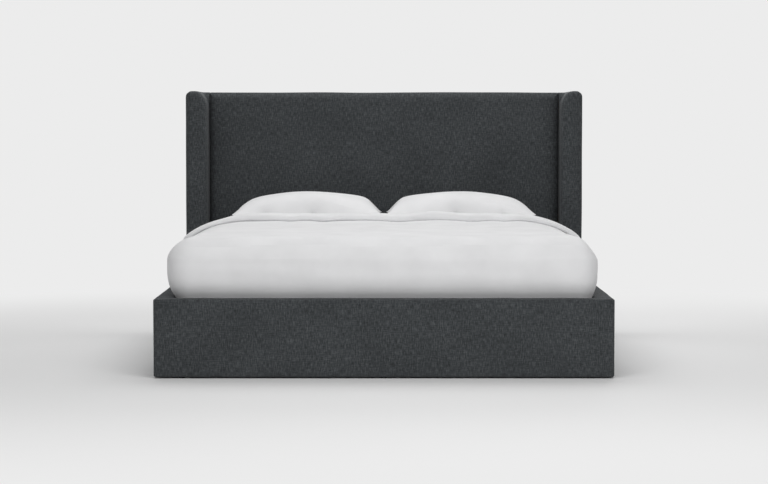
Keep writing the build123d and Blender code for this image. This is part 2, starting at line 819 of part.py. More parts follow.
def write_headboard():
    """The headboard panel and its two wings."""
    write_pair("headboard_post", headboard_post())
    top_rail = headboard_rail(frame_top - frame_rail_height, frame_rail_height)
    write("headboard_top_rail", top_rail)
    write("headboard_middle_rail", headboard_rail(middle_rail_bottom(), frame_rail_height))
    bottom_rail = headboard_rail(slat_bottom - bottom_rail_height, bottom_rail_height)
    write("headboard_bottom_rail", bottom_rail)
    write("headboard_panel", headboard_panel())
    write("headboard_foam", headboard_foam())
    write("headboard_cover", headboard_cover())
    write("headboard_back_cover", headboard_back_cover())
    write_pair("wing_core", wing_core())
    write_pair("wing_foam", wing_foam())
    write_pair("wing_cover", wing_cover())


def write_slat_base():
    """The slats, what carries them and the centre support."""
    for number, y in enumerate(slat_places, 1):
        write(f"slat_{number:02d}", slat(y))
    write_pair("slat_cleat", slat_cleat())
    write("centre_beam", centre_beam())
    write("beam_hangers", [beam_hanger(foot_inner_y, 1), beam_hanger(board_front_y, -1)])
    for number, y in enumerate(leg_places, 1):
        write(f"centre_leg_{number}", centre_leg(y))
        write(f"levelling_foot_{number}", levelling_foot(y))
    write("slat_straps", slat_straps())


def write_fasteners():
    """The screws, bolts and hooked plates."""
    screws = [slat_screw(x, y, 0) for x in slat_screw_places() for y in slat_places]
    write("slat_screws", screws)
    bolts = [cleat_bolt(y, 0) for y in cleat_bolt_places()]
    write("cleat_bolts", bolts + [across(bolt) for bolt in bolts])
    bolts = [wing_bolt(z, 0) for z in wing_bolt_places()]
    write("wing_bolts", bolts + [across(bolt) for bolt in bolts])
    joints = ((foot_inner_y, -1), (wing_front_y, 1))
    hooks = [hook_plate(y, way) for y, way in joints]
    write("rail_hook_plates", hooks + [across(plate) for plate in hooks])
    slots = [slot_plate(y, way) for y, way in joints]
    write("rail_slot_plates", slots + [across(plate) for plate in slots])


def write_bedding():
    """The mattress with its sheet, the duvet and the pillows."""
    inner = sheet_thickness + ticking_thickness
    write("mattress_core", mattress_body(inner))
    cover = mattress_body(sheet_thickness) - mattress_body(inner)
    write("mattress_cover", cover - mattress_underside(sheet_thickness))
    sheet = mattress_body(0) - mattress_body(sheet_thickness)
    write("fitted_sheet", sheet - mattress_underside(0))
    write("duvet", duvet())
    write_pair("pillow", pillow())


os.makedirs("parts", exist_ok=True)
write_base()
write_headboard()
write_slat_base()
write_fasteners()
write_bedding()
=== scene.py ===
import math

import bpy
import numpy as np
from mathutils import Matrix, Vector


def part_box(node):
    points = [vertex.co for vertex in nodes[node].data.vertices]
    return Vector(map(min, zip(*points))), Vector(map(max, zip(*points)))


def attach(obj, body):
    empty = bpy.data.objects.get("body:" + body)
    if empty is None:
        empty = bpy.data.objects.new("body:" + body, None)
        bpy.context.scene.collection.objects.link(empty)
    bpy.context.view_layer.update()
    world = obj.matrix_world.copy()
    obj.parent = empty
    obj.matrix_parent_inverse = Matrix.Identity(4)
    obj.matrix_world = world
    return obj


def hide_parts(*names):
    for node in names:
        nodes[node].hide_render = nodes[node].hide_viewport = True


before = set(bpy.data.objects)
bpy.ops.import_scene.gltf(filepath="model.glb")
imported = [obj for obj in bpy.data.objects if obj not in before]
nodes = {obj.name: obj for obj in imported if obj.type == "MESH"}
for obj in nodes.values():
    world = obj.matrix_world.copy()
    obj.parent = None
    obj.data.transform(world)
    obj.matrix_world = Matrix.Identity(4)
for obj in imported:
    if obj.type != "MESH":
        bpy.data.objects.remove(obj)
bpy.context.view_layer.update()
scene = bpy.context.scene
print("frame loaded:", len(nodes), "nodes")


def linear(hexColour):
    # sRGB hex to linear: each part over 255, then the sRGB curve undone.
    parts = np.array([int(hexColour[i : i + 2], 16) for i in (1, 3, 5)]) / 255
    flat = np.where(parts <= 0.04045, parts / 12.92, ((parts + 0.055) / 1.055) ** 2.4)
    return (*flat.tolist(), 1.0)


def addNode(tree, kind, settings=None, links=None):
    # One shader node: attributes or input values from settings, and what feeds its inputs.
    node = tree.nodes.new("ShaderNode" + kind)
    for key, value in (settings or {}).items():
        if isinstance(key, str) and hasattr(node, key):
            setattr(node, key, value)
        else:
            node.inputs[key].default_value = value
    for key, source in (links or {}).items():
        tree.links.new(source, node.inputs[key])
    return node


def newMaterial(name, fixed, space="Object"):
    # A material with its Principled shader, fixed values on the shader's own sockets, and one
    # kind of texture coordinates.
    material = bpy.data.materials.new(name)
    material.use_nodes = True
    tree = material.node_tree
    tree.nodes.clear()
    shader = addNode(tree, "BsdfPrincipled", fixed)
    addNode(tree, "OutputMaterial", links={"Surface": shader.outputs[0]})
    return material, tree, shader, addNode(tree, "TexCoord").outputs[space]


def dressShader(tree, shader, tone, height, settings):
    # The tone goes through (place, hex colour) stops to the colour, the height to the bump.
    ramp = addNode(tree, "ValToRGB", links={"Fac": tone})
    elements = ramp.color_ramp.elements
    while len(elements) < len(settings["stops"]):
        elements.new(0.5)
    for element, (place, colour) in zip(elements, settings["stops"]):
        element.position = place
        element.color = linear(colour)
    tree.links.new(ramp.outputs["Color"], shader.inputs["Base Color"])
    depth = {"Strength": settings["bumpShare"], "Distance": settings["bumpMm"] / 1000}
    bump = addNode(tree, "Bump", depth, {"Height": height})
    tree.links.new(bump.outputs[0], shader.inputs["Normal"])


def waveScale(waveMm):
    # The wave texture repeats every 2 pi over 20 of its own units.
    return 1000 / waveMm / 20 * math.pi


# Woven upholstery: polyester in a linen look, dull charcoal with lighter slubs both ways,
# the upright ones stronger.
# Threads are about 1 mm apart; they are drawn 3 mm apart, or they wouldn't show at all.
charcoalSettings = {
    "threadMm": 3.0,
    "slubWideMm": 4.8,
    "slubLongMm": 27.0,
    "slubNoise": {"Scale": 1.0, "Detail": 2.0, "Roughness": 0.6},
    "warpSeed": 3.1,
    "weftSeed": 8.7,
    "cloudMm": 260.0,
    "cloudShare": 0.12,
    "warpShare": 0.74,
    "stops": [(0.32, "#292b2c"), (0.5, "#404345"), (0.68, "#5e6163")],
    "shader": {
        "Roughness": 0.92,
        "Sheen Weight": 0.03,
        "Sheen Roughness": 0.5,
        "Specular IOR Level": 0.2,
    },
    "bumpShare": 0.6,
    "bumpMm": 0.35,
}


def wovenCloth(name, s):
    # Plain weave from the UV map, in metres: warp and weft have their own slub noise, a
    # checker of thread size says which lies on top, and the same pattern gives the bump.
    material, tree, shader, uv = newMaterial(name, s["shader"], "UV")

    def slub(wide, long, seed):
        place = {"Scale": (1000 / wide, 1000 / long, 1), "Location": (seed, 0, 0)}
        place = addNode(tree, "Mapping", place, {"Vector": uv}).outputs[0]
        return addNode(tree, "TexNoise", s["slubNoise"], {"Vector": place}).outputs["Fac"]

    warp = slub(s["slubWideMm"], s["slubLongMm"], s["warpSeed"])
    weft = slub(s["slubLongMm"], s["slubWideMm"], s["weftSeed"])
    checker = {"Scale": 1000 / s["threadMm"]}
    over = addNode(tree, "TexChecker", checker, {"Vector": uv}).outputs["Fac"]
    woven = addNode(tree, "Mix", {}, {0: over, 2: warp, 3: weft}).outputs[0]
    both = addNode(tree, "Mix", {0: s["warpShare"]}, {2: weft, 3: warp}).outputs[0]
    thread = addNode(tree, "Mix", {0: 0.5}, {2: woven, 3: both}).outputs[0]
    noise = {"Scale": 1000 / s["cloudMm"], "Detail": 1.0}
    cloud = addNode(tree, "TexNoise", noise, {"Vector": uv}).outputs["Fac"]
    tone = addNode(tree, "Mix", {0: s["cloudShare"]}, {2: thread, 3: cloud}).outputs[0]
    dressShader(tree, shader, tone, woven, s)
    return material


# Cotton percale: fine plain weave, matt white, with the faintest unevenness.
# Threads are 0.2 mm apart; the weave is drawn at 1.5 mm so that a close view shows it.
cottonSettings = {
    "threadMm": 1.5,
    "cloudMm": 180.0,
    "stops": [(0.3, "#e9e9ea"), (0.7, "#f1f1f2")],
    "shader": {
        "Roughness": 0.88,
        "Sheen Weight": 0.15,
        "Sheen Roughness": 0.4,
        "Specular IOR Level": 0.25,
    },
    "bumpShare": 0.4,
    "bumpMm": 0.12,
}


def percaleCotton(name, s):
    # Fine weave on the UV map: two crossed waves multiplied for the bump, a cloud for the
    # tone.
    material, tree, shader, uv = newMaterial(name, s["shader"], "UV")
    noise = {"Scale": 1000 / s["cloudMm"], "Detail": 3.0}
    cloud = addNode(tree, "TexNoise", noise, {"Vector": uv}).outputs["Fac"]
    waves = {}
    for which, axis in enumerate("XY"):
        wave = {"Scale": waveScale(s["threadMm"]), "bands_direction": axis, "wave_profile": "SIN"}
        waves[which] = addNode(tree, "TexWave", wave, {"Vector": uv}).outputs["Fac"]
    weave = addNode(tree, "Math", {"operation": "MULTIPLY"}, waves)
    dressShader(tree, shader, cloud, weave.outputs[0], s)
    return material


# Sawn softwood: pale, straight grain with darker late wood, waxy where it is planed.
# Growth rings are 4 mm apart, stretched along the board.
pineSettings = {
    "ringMm": 4.0,
    "stretch": 26.0,
    "noise": {"Scale": 0.35, "Detail": 4.0, "Distortion": 0.6},
    "stops": [(0.25, "#c79a63"), (0.5, "#dcb884"), (0.8, "#e7cb9c")],
    "shader": {"Roughness": 0.62, "Specular IOR Level": 0.35},
    "bumpShare": 0.5,
    "bumpMm": 0.15,
}


def sawnWood(name, s, grain):
    # Grain along one axis of Object coordinates: noise squeezed across it.
    material, tree, shader, place = newMaterial(name, s["shader"])
    across = 1000 / s["ringMm"]
    scale = [across / s["stretch"] if axis == grain else across for axis in range(3)]
    rings = addNode(tree, "Mapping", {"Scale": scale}, {"Vector": place}).outputs[0]
    wood = addNode(tree, "TexNoise", s["noise"], {"Vector": rings}).outputs["Fac"]
    dressShader(tree, shader, wood, wood, s)
    return material


# Painted, plated and moulded finishes: where their two tones lie in the noise, and by how
# much it lowers and raises their roughness.
finishSettings = {"places": (0.35, 0.75), "rough": (0.08, 0.1), "bumpShare": 0.2, "bumpMm": 0.2}


def plainFinish(name, colour, spot, roughness, metallic, grainMm):
    # A painted, plated or moulded surface: fine noise in tone, roughness and bump.
    fixed = {"Roughness": roughness, "Metallic": metallic}
    material, tree, shader, place = newMaterial(name, fixed)
    noise = {"Scale": 1000 / grainMm, "Detail": 3.0}
    grain = addNode(tree, "TexNoise", noise, {"Vector": place}).outputs["Fac"]
    stops = list(zip(finishSettings["places"], (colour, spot)))
    dressShader(tree, shader, grain, grain, {**finishSettings, "stops": stops})
    less, more = finishSettings["rough"]
    rough = {"To Min": roughness - less, "To Max": roughness + more}
    rough = addNode(tree, "MapRange", rough, {"Value": grain})
    tree.links.new(rough.outputs[0], shader.inputs["Roughness"])
    return material


# Polypropylene webbing: pale, flat, its tight twill catching a little light.
# Ribs are 1.2 mm apart; they are drawn 2.4 mm apart.
webbingSettings = {
    "ribMm": 2.4,
    "stops": [(0.2, "#8b8a84"), (0.8, "#b5b3ab")],
    "shader": {"Roughness": 0.6},
    "bumpShare": 0.5,
    "bumpMm": 0.3,
}


def twillWebbing(name, s):
    # Slanting ribs on Object coordinates: a wave along x + y gives the tone and the bump.
    material, tree, shader, place = newMaterial(name, s["shader"])
    wave = {"Scale": waveScale(s["ribMm"]), "bands_direction": "DIAGONAL", "wave_profile": "SIN"}
    ribs = addNode(tree, "TexWave", wave, {"Vector": place}).outputs["Fac"]
    dressShader(tree, shader, ribs, ribs, s)
    return material


charcoal = wovenCloth("charcoal_linen_weave", charcoalSettings)
backWeave = wovenCloth(
    "dark_back_cloth",
    {**charcoalSettings, "stops": [(0.3, "#212325"), (0.5, "#2d3032"), (0.75, "#3c3f42")]},
)
cotton = percaleCotton("white_cotton_percale", cottonSettings)
ticking = percaleCotton("knitted_ticking", {**cottonSettings, "threadMm": 4.0, "bumpMm": 0.5})
pineAlongX = sawnWood("pine_grain_across", pineSettings, 0)
pineAlongY = sawnWood("pine_grain_along", pineSettings, 1)
pineAlongZ = sawnWood("pine_grain_up", pineSettings, 2)
webbing = twillWebbing("polypropylene_webbing", webbingSettings)
hardboard = plainFinish("pressed_fibreboard", "#8f6f4c", "#a98862", 0.7, 0.0, 3.0)
blackPaint = plainFinish("black_powder_coat", "#1b1c1d", "#262728", 0.5, 0.0, 0.9)
zincPlate = plainFinish("zinc_plated_steel", "#a9adb0", "#c3c6c8", 0.35, 1.0, 2.0)
blackNylon = plainFinish("moulded_black_nylon", "#17181a", "#202124", 0.55, 0.0, 1.2)
print("materials made")


def buildMesh(name, points, faces, material):
    # points and quads as given; the object stays at the origin, unturned
    mesh = bpy.data.meshes.new(name)
    mesh.from_pydata(np.asarray(points, float).tolist(), [], np.asarray(faces).tolist())
    mesh.polygons.foreach_set("use_smooth", np.ones(len(mesh.polygons), bool))
    mesh.materials.append(material)
    piece = bpy.data.objects.new(name, mesh)
    scene.collection.objects.link(piece)
    return piece


def gridFaces(index, wrap=False):
    # each quad joins a vertex number of the grid to its neighbours; wrap closes its rows
    if wrap:
        index = np.concatenate([index, index[:, :1]], axis=1)
    quads = [index[:-1, :-1], index[:-1, 1:], index[1:, 1:], index[1:, :-1]]
    return np.stack(quads, axis=-1).reshape(-1, 4)


def readArray(items, field, kind=float, width=3):
    # one field of all of a mesh's points, faces or corners as a whole array
    values = np.zeros(len(items) * width, kind)
    items.foreach_get(field, values)
    return values.reshape(-1, width)


def vertexArray(piece):
    return readArray(piece.data.vertices, "co")


def normalArray(piece):
    return readArray(piece.data.vertex_normals, "vector")


def setVertices(piece, points):
    piece.data.vertices.foreach_set("co", np.asarray(points, float).ravel())
    piece.data.update()


def pushOut(piece, lift, rise=0):
    # every point moves along its normal, and by rise upwards
    points, normals = vertexArray(piece), normalArray(piece)
    points[:, 2] += rise
    setVertices(piece, points + normals * lift[:, None])


def boxUv(piece):
    # UV in metres, each face projected along the axis that it faces most
    mesh = piece.data
    facing = np.abs(readArray(mesh.polygons, "normal")).argmax(1)
    sides = readArray(mesh.polygons, "loop_total", int, 1)[:, 0]
    facing = np.repeat(facing, sides)
    at = vertexArray(piece)[readArray(mesh.loops, "vertex_index", int, 1)[:, 0]]
    u = np.where(facing == 0, at[:, 1], at[:, 0])
    v = np.where(facing == 2, at[:, 1], at[:, 2])
    layer = mesh.uv_layers.new(name="cloth")
    layer.data.foreach_set("uv", np.stack([u, v], 1).ravel())


def columns(*parts):
    # arrays side by side, a single number repeated to their length
    return np.column_stack(np.broadcast_arrays(*parts))


waveCount, waveSpread = 14, (0.6, 1.7)


def ripple(points, lengthM, seed, stretch=(1, 1, 1)):
    # about -1 to 1: sine waves of about one length, in seeded directions, added up
    rng = np.random.default_rng(seed)
    place = points / np.array(stretch)
    total = np.zeros(len(points))
    for _ in range(waveCount):
        way = rng.normal(size=3)
        way /= np.linalg.norm(way)
        length = lengthM * rng.uniform(*waveSpread)
        total += np.sin(2 * np.pi * (place @ way) / length + rng.uniform(0, 2 * np.pi))
    return total / math.sqrt(waveCount * 2)


def smoothStep(x, low, high):
    # 0 below low, 1 above high, an S curve between
    t = np.clip((x - low) / (high - low), 0, 1)
    return t * t * (3 - 2 * t)


def orientOutwards(piece):
    # the faces turn round if the signed volume they enclose is negative
    mesh = piece.data
    mesh.calc_loop_triangles()
    corners = readArray(mesh.loop_triangles, "vertices", int)
    a, b, c = vertexArray(piece)[corners].transpose(1, 0, 2)
    if np.einsum("ij,ij->i", a, np.cross(b, c)).sum() < 0:
        mesh.flip_normals()


arcSteps, leastRadiusM = 8, 0.0005


def edgeStations(low, high, a, b, step, lowFlat, highFlat, fine=1):
    # (inset, depth) rows through a pad: flat rings, a quarter circle of radius a, even steps,
    # one of radius b and flat rings again. fine divides the first quarter circle's steps
    first, last = (np.linspace(0, np.pi / 2, arcSteps * share) for share in (fine, 1))
    rows = [(a + extra, low) for extra in lowFlat]
    rows += [(a * (1 - math.sin(t)), low + a * (1 - math.cos(t))) for t in first]
    count = max(int((high - low - a - b) / step), 2)
    rows += [(0.0, depth) for depth in np.linspace(low + a, high - b, count + 1)[1:-1]]
    rows += [(b * (1 - math.cos(t)), high - b * (1 - math.sin(t))) for t in last]
    return rows + [(b + extra, high) for extra in highFlat]


def boxLoop(low, high, radii, inset, sideCount, endCount):
    # round a rectangle drawn in by inset, each corner a quarter ellipse: up its far side,
    # along its top end, down its near side and back. radii: far-low, far-high, near-high,
    # near-low. sideCount and endCount are the points between the corners
    turn = np.linspace(0, np.pi / 2, arcSteps)
    (x0, y0), (x1, y1) = np.array(low) + inset, np.array(high) - inset
    arcs, loop = [], []
    for which, (a, b) in enumerate(radii):
        a, b = (max(radius - inset, leastRadiusM) for radius in (a, b))
        cx = x1 - a if which < 2 else x0 + a
        cy = y1 - b if which in (1, 2) else y0 + b
        angle = (which - 1) * np.pi / 2 + turn
        arcs.append(columns(cx + a * np.cos(angle), cy + b * np.sin(angle)))
    for arc, following, count in zip(arcs, arcs[1:] + arcs[:1], (sideCount, endCount) * 2):
        share = np.linspace(0, 1, count + 2)[1:-1, None]
        loop += [arc, arc[-1] + (following[0] - arc[-1]) * share]
    return np.concatenate(loop)


def capGrid(ring, rows, columns, start, openEnd=False):
    # vertex numbers over a loop: its two sides are the outer columns, its ends the outer
    # rows, and new numbers from start fill the rest
    grid = np.zeros((rows, columns + 2), int)
    grid[:, 0] = ring[:rows]
    grid[:, -1] = ring[rows + columns : 2 * rows + columns][::-1]
    grid[-1, 1:-1] = ring[rows : rows + columns]
    if not openEnd:
        grid[0, 1:-1] = ring[2 * rows + columns :][::-1]
    inner = grid[0 if openEnd else 1 : -1, 1:-1]
    inner[:] = start + np.arange(inner.size).reshape(inner.shape)
    return grid


def addCap(points, grid, openEnd=False):
    # the points and the cap's new ones, evenly between the loop's two sides
    first = 0 if openEnd else 1
    near, far = points[grid[first:-1, 0]], points[grid[first:-1, -1]]
    share = np.linspace(0, 1, grid.shape[1])[1:-1]
    cap = near[:, None] + (far - near)[:, None] * share[None, :, None]
    return np.concatenate([points, cap.reshape(-1, 3)])


def makePad(name, corners, axes, radii, stations, s, material, way=1, caps=(0, -1)):
    # a padded block: at each (inset, depth) station along the third axis, a rounded
    # rectangle over two axes of its box, mirrored where way is -1, with a cap over its first
    # (0) and last (-1) one
    low, high = (np.array(corner)[axes] for corner in corners)
    sideCount, endCount = s["counts"]
    rows = []
    for inset, depth in stations:
        loop = boxLoop(low, high, radii, inset, sideCount, endCount)
        row = np.full((len(loop), 3), float(depth))
        row[:, axes] = loop * (way, 1)
        rows.append(row)
    points = np.concatenate(rows)
    index = np.arange(len(points)).reshape(len(rows), -1)
    faces = [gridFaces(index, wrap=True)]
    for row in caps:
        grid = capGrid(index[row], sideCount + 2 * arcSteps, endCount, len(points))
        points = addCap(points, grid)
        quads = gridFaces(grid)
        faces.append(quads[:, ::-1] if row else quads)
    piece = buildMesh(name, points, np.concatenate(faces), material)
    orientOutwards(piece)
    return piece


def levelPad(name, corners, s, material):
    # a pad made from the bottom up, with the same edge and flat rings at both ends
    (low, high), edge, flat = corners, s["edgeM"], s["flatM"]
    stations = edgeStations(low.z, high.z, edge, edge, s["stepM"], flat, flat[::-1])
    radii = [(radius, radius) for radius in s["cornersM"]]
    return makePad(name, corners, s["axes"], radii, stations, s, material)


def declare(piece, body, replaced):
    # the cloth UV, and what the piece rides on and stands for
    boxUv(piece)
    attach(piece, body)
    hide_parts(*replaced)


def declarePad(piece, body, replaced):
    declare(piece, body, replaced)


def finishPad(piece, s, replaced, body="frame"):
    # a soft unevenness along the normals
    pushOut(piece, ripple(vertexArray(piece), s["waveM"], s["seed"]) * s["waveHighM"])
    declarePad(piece, body, replaced)


def finishSheet(piece, s, body, replaced):
    # a wall inwards, the cloth UV, and what the piece rides on and stands for
    declare(piece, body, [replaced])
    thick = piece.modifiers.new("thickness", "SOLIDIFY")
    thick.thickness, thick.offset = s["thickM"], -1


# Footboard: crisp foam edges, larger rounding at the two outer corners.
footboardSettings = {
    "edgeM": 0.009,
    "flatM": (0.02, 0.008),
    "axes": [1, 0],
    "cornersM": (0.008, 0.008, 0.018, 0.018),
    "stepM": 0.02,
    "counts": (110, 4),
    "waveM": 0.35,
    "waveHighM": 0.0006,
    "seed": 11,
    "fill": 0.95,
}


# Side rails: the same section, butted against the footboard and the wings.
railSettings = {
    **footboardSettings,
    "axes": [0, 1],
    "cornersM": (0.004,) * 4,
    "counts": (95, 4),
    "seed": 23,
}


def makeRail(names, s):
    # one padded block stands for the cover and the foam
    name, cover, foam = (names.format(part) for part in ("upholstery", "cover", "foam"))
    finishPad(levelPad(name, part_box(cover), s, charcoal), s, [cover, foam])


# Headboard panel: deep foam, so its top and end edges turn back in a large radius.
panelSettings = {
    "frontEdgeM": 0.042,
    "frontFlatM": (0.04, 0.018),
    "backEdgeM": 0.006,
    "backFlatM": (0.03,),
    "cornerM": (0.012, 0.012),
    "footM": (0.004, 0.004),
    "stepM": 0.012,
    "counts": (60, 100),
    "crownM": 0.003,
    "softM": 0.007,
    "softReachM": 0.055,
    "waveM": 0.4,
    "waveHighM": 0.0012,
    "backInM": 0.0005,
    "seed": 47,
    "fill": 0.8,
}


# Wings: thick foam, a large soft curve at the inner top corner, a tight one outside. Behind
# the curve, the wing carries on the panel's face and top.
wingSettings = {
    "frontEdgeM": 0.028,
    "flatM": (0.02, 0.01),
    "crownM": 0.007,
    "crownShare": 0.4,
    "backEdgeM": 0.003,
    "overlapM": 0.0016,
    "outerTopM": (0.033, 0.033),
    "innerTopM": (0.065, 0.095),
    "footM": (0.004, 0.004),
    "seamInsetM": 0.015,
    "seamWideM": 0.0028,
    "seamDeepM": 0.003,
    "fineArc": 3,
    "stepM": 0.02,
    "counts": (100, 5),
    "waveM": 0.3,
    "waveHighM": 0.0009,
    "seed": 31,
    "fill": 0.85,
}


def makeWing(side, s):
    # the inner top corner behind the panel's face is raised to the panel's own quarter
    # circle; then the front face is crowned and the seam is pressed in as a groove
    way = 1 if side == "right" else -1
    low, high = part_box(f"wing_cover_{side}")
    near, far = sorted(abs(corner.x) for corner in (low, high))
    near -= s["overlapM"]
    front, back, flat = s["frontEdgeM"], s["backEdgeM"], s["flatM"]
    rings = (flat, flat[::-1], s["fineArc"])
    stations = edgeStations(low.y, high.y, front, back, s["stepM"], *rings)
    panel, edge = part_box("headboard_cover"), panelSettings["frontEdgeM"]
    face, top = panel[0].y, panel[1].z
    arc = face + edge * (1 - np.cos(np.linspace(0, np.pi / 2, arcSteps)))
    stations += [(0.0, depth) for depth in (face - s["overlapM"], *arc)]
    stations.sort(key=lambda station: station[1])
    corners = (near, low.y, low.z), (far, high.y, high.z)
    radii = [s["footM"], s["outerTopM"], s["innerTopM"], s["footM"]]
    piece = makePad(f"wing_upholstery_{side}", corners, [0, 2], radii, stations, s, charcoal, way)
    points = vertexArray(piece)
    behind = np.clip(points[:, 1] - face, 0, edge)
    rise = top - edge + np.sqrt(behind * (2 * edge - behind))
    corner = (np.abs(points[:, 0]) < near + s["innerTopM"][0]) & (points[:, 1] >= face)
    corner &= points[:, 2] > high.z - s["innerTopM"][1] - s["overlapM"]
    points[corner, 2] = np.maximum(points[corner, 2], rise[corner])
    setVertices(piece, points)
    normals = normalArray(piece)
    facing = 1 - smoothStep(points[:, 1], low.y, low.y + front)
    across = (2 * np.abs(points[:, 0]) - near - far) / (far - near)
    points[:, 1] -= s["crownM"] * (s["crownShare"] - across**2) * facing
    fromEdge = far - np.abs(points[:, 0])
    groove = np.exp(-(((fromEdge - s["seamInsetM"]) / s["seamWideM"]) ** 2))
    groove *= points[:, 1] < low.y + front
    setVertices(piece, points - normals * (groove * s["seamDeepM"])[:, None])
    replaced = [f"wing_cover_{side}", f"wing_foam_{side}"]
    finishPad(piece, {**s, "seed": s["seed"] + way}, replaced)


def makePanel(s):
    # the front is crowned in the middle and gives way towards its edges; the back stays flat
    low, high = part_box("headboard_cover")
    edges, rings = (s["frontEdgeM"], s["backEdgeM"]), (s["frontFlatM"], s["backFlatM"])
    stations = edgeStations(low.y, high.y, *edges, s["stepM"], *rings)
    name, radii = "headboard_upholstery", [s["footM"], s["cornerM"], s["cornerM"], s["footM"]]
    piece = makePad(name, (low, high), [0, 2], radii, stations, s, charcoal)
    points = vertexArray(piece)
    across = np.clip(1 - (2 * points[:, 0] / (high.x - low.x)) ** 4, 0, 1)
    up = np.clip(1 - ((2 * points[:, 2] - low.z - high.z) / (high.z - low.z)) ** 4, 0, 1)
    facing = 1 - smoothStep(points[:, 1], low.y, low.y + s["frontEdgeM"])
    points[:, 1] -= s["crownM"] * across * up * facing
    fromEdge = np.minimum(high.z - points[:, 2], high.x - np.abs(points[:, 0]))
    points[:, 1] += s["softM"] * np.exp(-fromEdge / s["softReachM"]) * facing
    setVertices(piece, points)
    finishPad(piece, s, ["headboard_cover", "headboard_foam"])
    points = vertexArray(piece)
    points[:, 1] = np.minimum(points[:, 1], high.y - s["backInM"])
    setVertices(piece, points)


# Back cloth: thin weave pulled flat over the back of the frame, its edges turned in.
backClothSettings = {
    "thickM": 0.0012,
    "turnM": 0.0014,
    "overlapM": 0.0009,
    "hemM": 0.014,
    "hemFade": (0.0112, 0.0154),
    "looseM": 0.112,
    "hemHighM": 0.0004,
    "across": 110,
    "up": 76,
    "edgeSteps": 6,
    "waveM": 0.22,
    "waveHighM": 0.0003,
    "seed": 53,
}


def edgedLine(low, high, count, s):
    # places from low to high, close together within the turn of either end
    turn = s["turnM"]
    edge = turn * (1 - np.cos(np.linspace(0, np.pi / 2, s["edgeSteps"])))
    middle = np.linspace(low + turn, high - turn, count)[1:-1]
    return np.concatenate([low + edge, middle, (high - edge)[::-1]])


def makeBackCloth(s):
    # a grid in x and z; within the turn of its edge it bends forward as a quarter circle
    low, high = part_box("headboard_back_cover")
    half, turn = high.x + s["overlapM"], s["turnM"]
    across, up = edgedLine(-half, half, s["across"], s), edgedLine(low.z, high.z, s["up"], s)
    x, z = (places.ravel() for places in np.meshgrid(across, up))
    inset = np.minimum(np.minimum(half - np.abs(x), z - low.z), high.z - z)
    short = np.clip(turn - inset, 0, turn)
    drop = turn - np.sqrt(turn**2 - short**2)
    points = columns(x, high.y - drop, z)
    loose = smoothStep(inset, s["hemM"], s["looseM"])
    wave = ripple(points, s["waveM"], s["seed"]) * s["waveHighM"] * loose
    hem = s["hemHighM"] * (1 - smoothStep(inset, *s["hemFade"]))
    points[:, 1] += wave + hem - s["hemHighM"]
    index = np.arange(x.size).reshape(len(up), -1)
    piece = buildMesh("headboard_back_cloth", points, gridFaces(index)[:, ::-1], backWeave)
    replaced, slot = "headboard_back_cover", "back_cloth"
    finishSheet(piece, s, "frame", replaced)


makeRail("footboard_{}", footboardSettings)
makeBackCloth(backClothSettings)
for side in ("left", "right"):
    seed = railSettings["seed"] + len(side)
    makeRail("side_rail_{}_" + side, {**railSettings, "seed": seed})
    makeWing(side, wingSettings)
makePanel(panelSettings)
print("upholstery made")

# Mattress: a knit cover over its fill, quilted in slanting squares.
mattressSettings = {
    "axes": [0, 1],
    "cornersM": (0.06,) * 4,
    "edgeM": 0.02,
    "flatM": (0.03, 0.012),
    "stepM": 0.02,
    "counts": (110, 90),
    "quiltM": 0.24,
    "quiltDeepM": 0.004,
    "channelM": 0.012,
    "levelFrom": 0.9,
    "waveM": 0.5,
    "waveHighM": 0.001,
    "seed": 61,
    "fill": 0.95,
}


def makeMattress(s):
    # the channels lie where x + y or x - y is a whole number of quilt squares
    piece = levelPad("mattress_pad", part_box("mattress_cover"), s, ticking)
    slant = vertexArray(piece)[:, :2] @ np.array([[1, 1], [1, -1]]) / s["quiltM"]
    channel = np.abs(slant - np.round(slant)).min(1) * s["quiltM"]
    level = np.abs(normalArray(piece)[:, 2]) > s["levelFrom"]
    pushOut(piece, -np.exp(-((channel / s["channelM"]) ** 2)) * level * s["quiltDeepM"])
    finishPad(piece, s, ["mattress_core", "mattress_cover"], "mattress")


# Fitted sheet: stretched over the mattress, elastic hem turned under it.
sheetSettings = {
    "thickM": 0.0008,
    "turnUnderM": 0.09,
    "bottomFlatM": (0.05, 0.02),
    "topFlatM": (0.012, 0.03),
    "waveM": 0.12,
    "waveStretch": (1, 1, 4),
    "waveHighM": 0.0006,
    "waveMostM": 0.0004,
    "sideFade": (0.2, 0.8),
    "seed": 71,
}


def makeSheet(s, m):
    # the mattress's own form (m), open underneath, with upright waves on its sides
    low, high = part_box("fitted_sheet")
    radii = [(radius, radius) for radius in m["cornersM"]]
    bottom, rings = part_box("mattress_cover")[0].z - s["thickM"], (s["bottomFlatM"], s["topFlatM"])
    stations = edgeStations(bottom, high.z, m["edgeM"], m["edgeM"], m["stepM"], *rings)
    name, corners = "fitted_sheet_cloth", (low, high)
    piece = makePad(name, corners, m["axes"], radii, stations, m, cotton, caps=(-1,))
    swell = ripple(vertexArray(piece), s["waveM"], s["seed"], s["waveStretch"])
    side = smoothStep(1 - np.abs(normalArray(piece)[:, 2]), *s["sideFade"])
    pushOut(piece, np.minimum(swell * s["waveHighM"], s["waveMostM"]) * side)
    finishSheet(piece, s, "mattress", "fitted_sheet")


makeMattress(mattressSettings)
makeSheet(sheetSettings, mattressSettings)
print("mattress and sheet made")

